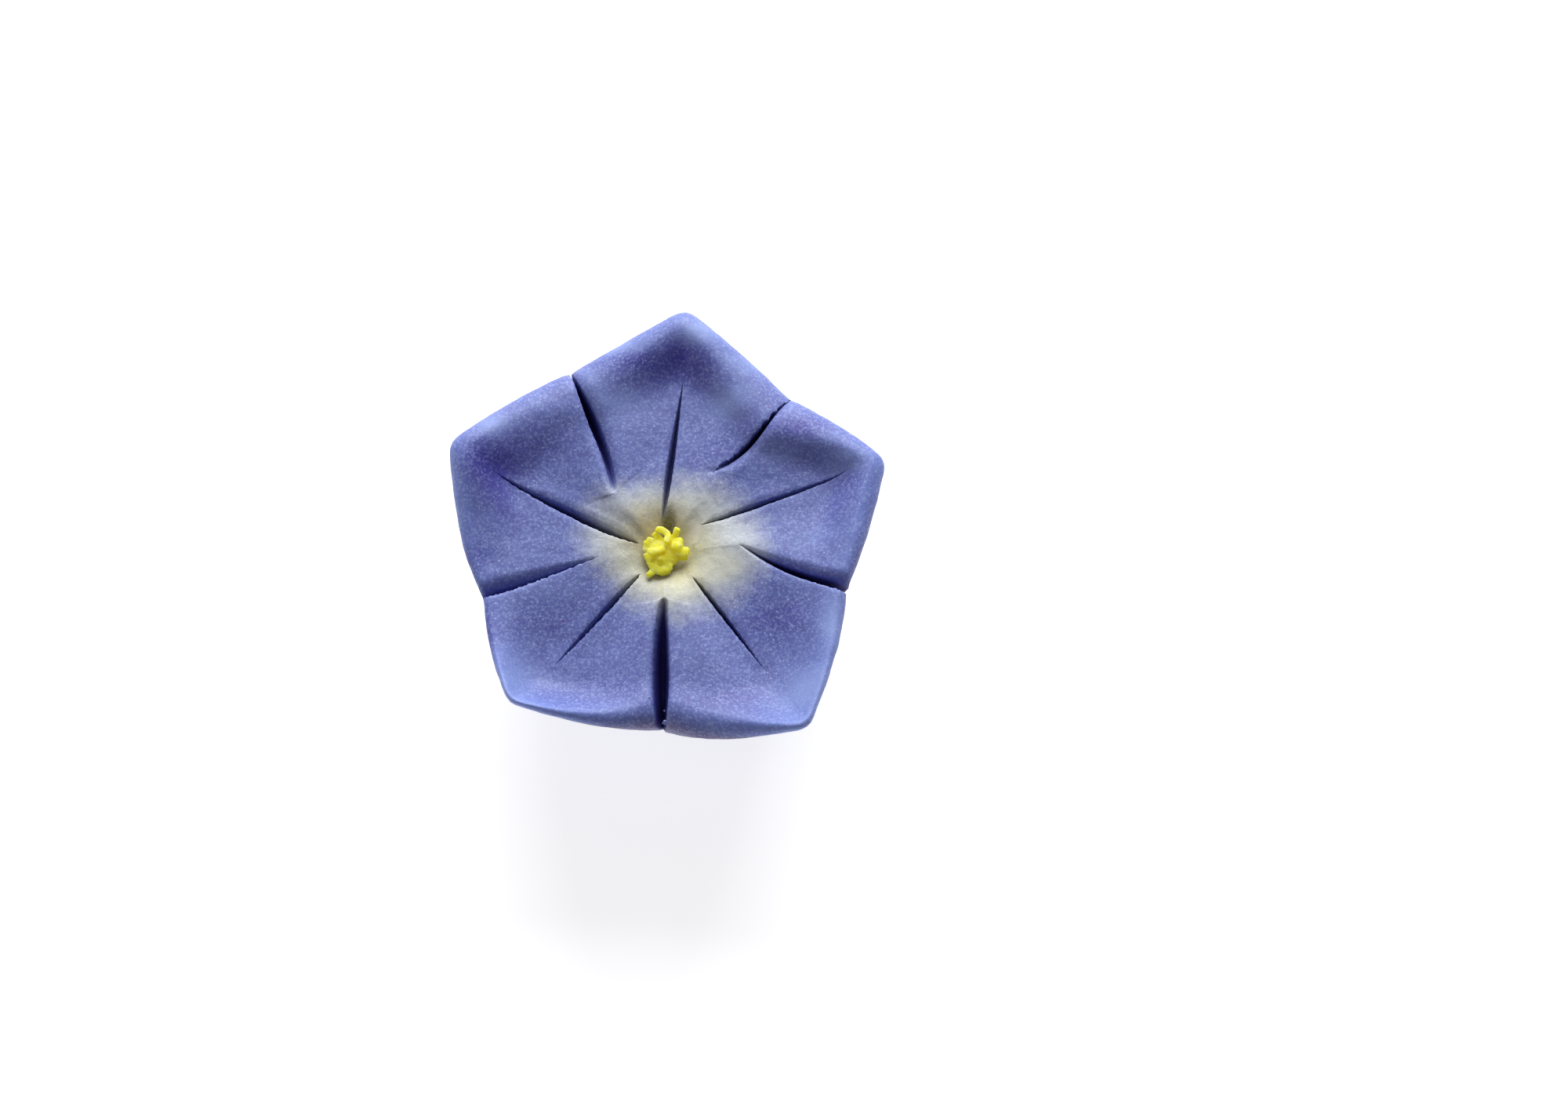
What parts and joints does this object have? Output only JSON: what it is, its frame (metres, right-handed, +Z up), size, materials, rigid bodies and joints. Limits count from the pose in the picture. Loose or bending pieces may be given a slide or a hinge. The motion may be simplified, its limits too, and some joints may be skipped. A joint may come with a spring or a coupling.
{
  "type": "namagashi bellflower sweet",
  "caption": "Moulded bean-paste sweet shaped as an open bellflower: periwinkle petals parted by blade cuts, a cream hollow heart and a tuft of yellow dough strands.",
  "frame": {"origin": "on the underside, straight below the flower's heart", "axes": "+Z up out of the heart, +Y towards the back petal"},
  "size_m": [0.0519, 0.0527, 0.0264],
  "materials": {
    "petal_dough": "moist smooth bean-paste dough, satin, periwinkle fading to a cream heart",
    "strand_dough": "sieved yellow bean-paste dough, satin"
  },
  "bodies": {
    "root": {"flower": "petal_dough", "stamens": "strand_dough"}
  },
  "joints": []
}
